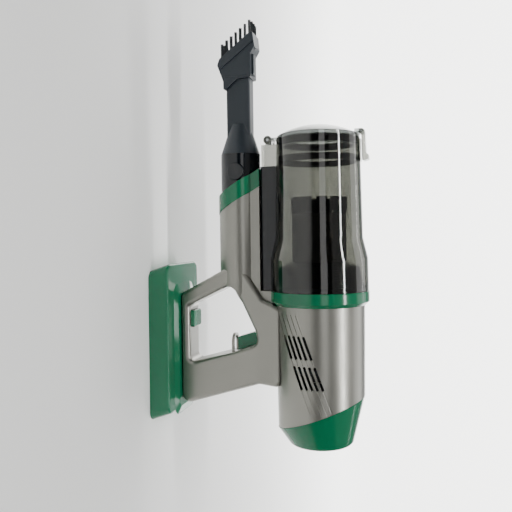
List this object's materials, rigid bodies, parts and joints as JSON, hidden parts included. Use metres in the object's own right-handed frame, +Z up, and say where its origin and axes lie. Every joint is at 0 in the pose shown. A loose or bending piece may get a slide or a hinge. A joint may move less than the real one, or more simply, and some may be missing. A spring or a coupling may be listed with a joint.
{
  "type": "cordless stick vacuum",
  "caption": "Hand-held cordless stick vacuum on its battery pack, with a clear dust cup, loop handle, trigger, crevice tool and sliding dusting brush.",
  "frame": {"origin": "middle of the battery's flat resting face", "axes": "+Z up, -X along the nozzle towards the brush tip, +Y to the left of a person holding the grip and facing the nozzle"},
  "size_m": [0.4797, 0.1106, 0.2446],
  "materials": {
    "silver_paint": "satin metallic paint on ABS",
    "green_gloss": "moulded gloss ABS",
    "smoked_clear": "smoked clear polycarbonate, polished",
    "clear_lid": "clear polycarbonate, polished",
    "black_gloss": "moulded gloss black ABS",
    "dark_matte": "fine textured dark ABS",
    "black_rubber": "matt moulded rubber",
    "bristle": "nylon bristles",
    "steel": "plain steel",
    "dark_mesh": "etched and blackened steel screen",
    "foam": "open-cell foam",
    "filter_paper": "pleated filter paper",
    "copper": "enamelled copper wire",
    "board_green": "glass-epoxy board",
    "cell_wrap": "shrink wrap on steel cells",
    "black_inner": "moulded inner ABS",
    "aluminium": "machined"
  },
  "bodies": {
    "main_body": {"body_shell_left": "silver_paint", "body_shell_right": "silver_paint", "shell_screws": "steel", "motor_housing": "silver_paint", "cup_trim_ring": "green_gloss", "neck_tube": "black_gloss", "neck_trim_ring": "green_gloss", "inlet_elbow": "black_inner", "trigger_guard": "silver_paint", "trigger_pin": "steel", "power_switch": "black_inner", "spring_seat": "black_inner", "trigger_spring": "steel", "button_spring": "steel", "button_seat": "black_inner", "body_contacts": "black_inner", "control_board": "board_green", "motor_bulkhead": "black_inner", "front_mount": "black_rubber", "rear_mount": "black_rubber", "impeller_shroud": "black_inner", "motor_can": "black_inner", "motor_bearings": "steel", "stator_core": "steel", "stator_windings": "copper", "exhaust_filter": "filter_paper", "filter_frame": "black_inner"},
    "battery_pack": {"battery_cover": "green_gloss", "battery_base": "black_inner", "battery_screws": "steel", "battery_cells": "cell_wrap", "cell_holders": "black_inner", "battery_board": "board_green", "battery_terminals": "copper", "charge_socket": "steel"},
    "battery_button": {"battery_button": "green_gloss"},
    "trigger": {"trigger": "green_gloss"},
    "neck_button": {"neck_release_button": "black_gloss"},
    "dust_cup": {"dust_cup": "smoked_clear", "cup_spine": "black_gloss", "dust_guard_ring": "black_rubber", "lid_hinge_pin": "steel"},
    "lid": {"cup_lid": "clear_lid", "lid_seal": "black_rubber", "latch_pin": "steel"},
    "latch": {"lid_latch": "smoked_clear"},
    "filter_unit": {"screen_crown": "black_gloss", "mesh_screen": "dark_mesh", "screen_base": "black_gloss", "cup_seal": "black_rubber", "foam_filter": "foam"},
    "exhaust_cap": {"exhaust_cap": "green_gloss"},
    "rotor": {"motor_shaft": "steel", "rotor_magnet": "steel", "impeller": "aluminium"},
    "crevice_tool": {"crevice_tool": "dark_matte"},
    "brush": {"brush_head": "dark_matte", "bristle_tufts": "bristle"},
    "brush_tab": {"brush_lock_tab": "dark_matte"}
  },
  "joints": [
    {"name": "battery_slide", "type": "slide", "parent": "main_body", "child": "battery_pack", "axis": [1, 0, 0], "range_m": [0, 0.12]},
    {"name": "battery_button_press", "type": "slide", "parent": "main_body", "child": "battery_button", "axis": [0, 0, -1], "range_m": [0, 0.0015], "stiffness_N_per_m": 400, "deforming": ["button_spring"]},
    {"name": "trigger_pull", "type": "hinge", "parent": "main_body", "child": "trigger", "pos_m": [0.0065, 0, 0.1125], "axis": [0, -1, 0], "range_deg": [0, 9], "stiffness_Nm_per_rad": 0.35, "deforming": ["trigger_spring"]},
    {"name": "neck_button_press", "type": "slide", "parent": "main_body", "child": "neck_button", "axis": [0, 1, 0], "range_m": [0, 0.0018], "stiffness_N_per_m": 400},
    {"name": "cup_pull", "type": "slide", "parent": "main_body", "child": "dust_cup", "axis": [-1, 0, 0], "range_m": [0, 0.18]},
    {"name": "lid_hinge", "type": "hinge", "parent": "dust_cup", "child": "lid", "pos_m": [-0.2315, 0, 0.1315], "axis": [0, -1, 0], "range_deg": [0, 88]},
    {"name": "latch_lift", "type": "hinge", "parent": "lid", "child": "latch", "pos_m": [-0.2365, 0, 0.2362], "axis": [0, -1, 0], "range_deg": [0, 20], "stiffness_Nm_per_rad": 0.05},
    {"name": "filter_pull", "type": "slide", "parent": "main_body", "child": "filter_unit", "axis": [-1, 0, 0], "range_m": [0, 0.025]},
    {"name": "exhaust_cap_pull", "type": "slide", "parent": "main_body", "child": "exhaust_cap", "axis": [1, 0, 0], "range_m": [0, 0.06]},
    {"name": "rotor_spin", "type": "hinge", "parent": "main_body", "child": "rotor", "pos_m": [0, 0, 0.1875], "axis": [1, 0, 0], "continuous": true},
    {"name": "tool_pull", "type": "slide", "parent": "main_body", "child": "crevice_tool", "axis": [-1, 0, 0], "range_m": [0, 0.1]},
    {"name": "brush_slide", "type": "slide", "parent": "crevice_tool", "child": "brush", "axis": [1, 0, 0], "range_m": [0, 0.04]},
    {"name": "brush_tab_press", "type": "slide", "parent": "brush", "child": "brush_tab", "axis": [0, 0, -1], "range_m": [0, 0.0008], "stiffness_N_per_m": 500}
  ]
}
